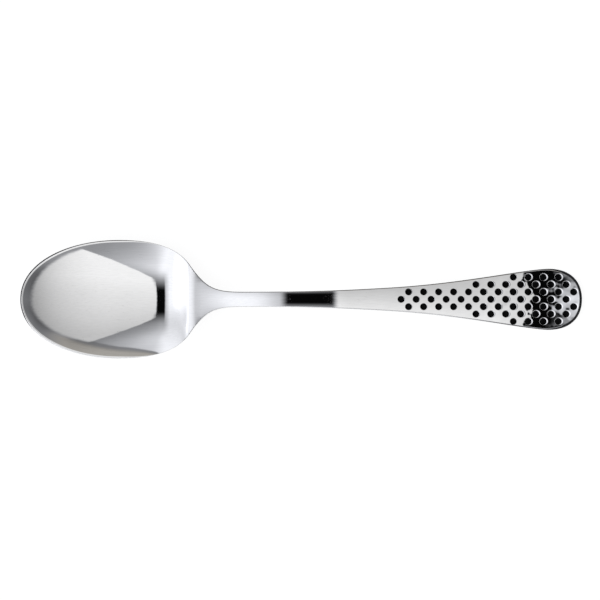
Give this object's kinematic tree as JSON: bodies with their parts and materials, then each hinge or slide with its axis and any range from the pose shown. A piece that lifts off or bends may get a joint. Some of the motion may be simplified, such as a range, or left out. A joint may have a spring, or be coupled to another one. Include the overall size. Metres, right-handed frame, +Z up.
{
  "type": "dessert spoon",
  "caption": "Polished stainless dessert spoon with an egg-shaped bowl, a slim neck and a handle that widens to a round end set with staggered black enamel dots.",
  "frame": {"origin": "on the table under the middle of the spoon's box, with the spoon lying hollow side up", "axes": "+X along the spoon from the bowl to the end of the handle, +Z up out of the bowl"},
  "size_m": [0.186, 0.0392, 0.0122],
  "materials": {
    "steel": "mirror polished stainless steel with fine polish lines along the length",
    "enamel": "glossy black enamel, dished a little below the steel"
  },
  "bodies": {
    "root": {"enamel_dot_A01": "enamel", "enamel_dot_A02": "enamel", "enamel_dot_A03": "enamel", "enamel_dot_A04": "enamel", "enamel_dot_B01": "enamel", "enamel_dot_B02": "enamel", "enamel_dot_B03": "enamel", "enamel_dot_B04": "enamel", "enamel_dot_B05": "enamel", "enamel_dot_B06": "enamel", "enamel_dot_B07": "enamel", "enamel_dot_C01": "enamel", "enamel_dot_C02": "enamel", "enamel_dot_C03": "enamel", "enamel_dot_C04": "enamel", "enamel_dot_C05": "enamel", "enamel_dot_C06": "enamel", "enamel_dot_C07": "enamel", "enamel_dot_C08": "enamel", "enamel_dot_C09": "enamel", "enamel_dot_C10": "enamel", "enamel_dot_C11": "enamel", "enamel_dot_C12": "enamel", "enamel_dot_D01": "enamel", "enamel_dot_D02": "enamel", "enamel_dot_D03": "enamel", "enamel_dot_D04": "enamel", "enamel_dot_D05": "enamel", "enamel_dot_D06": "enamel", "enamel_dot_D07": "enamel", "enamel_dot_D08": "enamel", "enamel_dot_D09": "enamel", "enamel_dot_D10": "enamel", "enamel_dot_D11": "enamel", "enamel_dot_D12": "enamel", "enamel_dot_E01": "enamel", "enamel_dot_E02": "enamel", "enamel_dot_E03": "enamel", "enamel_dot_E04": "enamel", "enamel_dot_E05": "enamel", "enamel_dot_E06": "enamel", "enamel_dot_E07": "enamel", "enamel_dot_E08": "enamel", "enamel_dot_E09": "enamel", "enamel_dot_E10": "enamel", "enamel_dot_E11": "enamel", "enamel_dot_E12": "enamel", "enamel_dot_F01": "enamel", "enamel_dot_F02": "enamel", "enamel_dot_F03": "enamel", "enamel_dot_F04": "enamel", "enamel_dot_F05": "enamel", "enamel_dot_F06": "enamel", "enamel_dot_F07": "enamel", "enamel_dot_G01": "enamel", "enamel_dot_G02": "enamel", "enamel_dot_G03": "enamel", "enamel_dot_G04": "enamel", "spoon_body": "steel"}
  },
  "joints": []
}
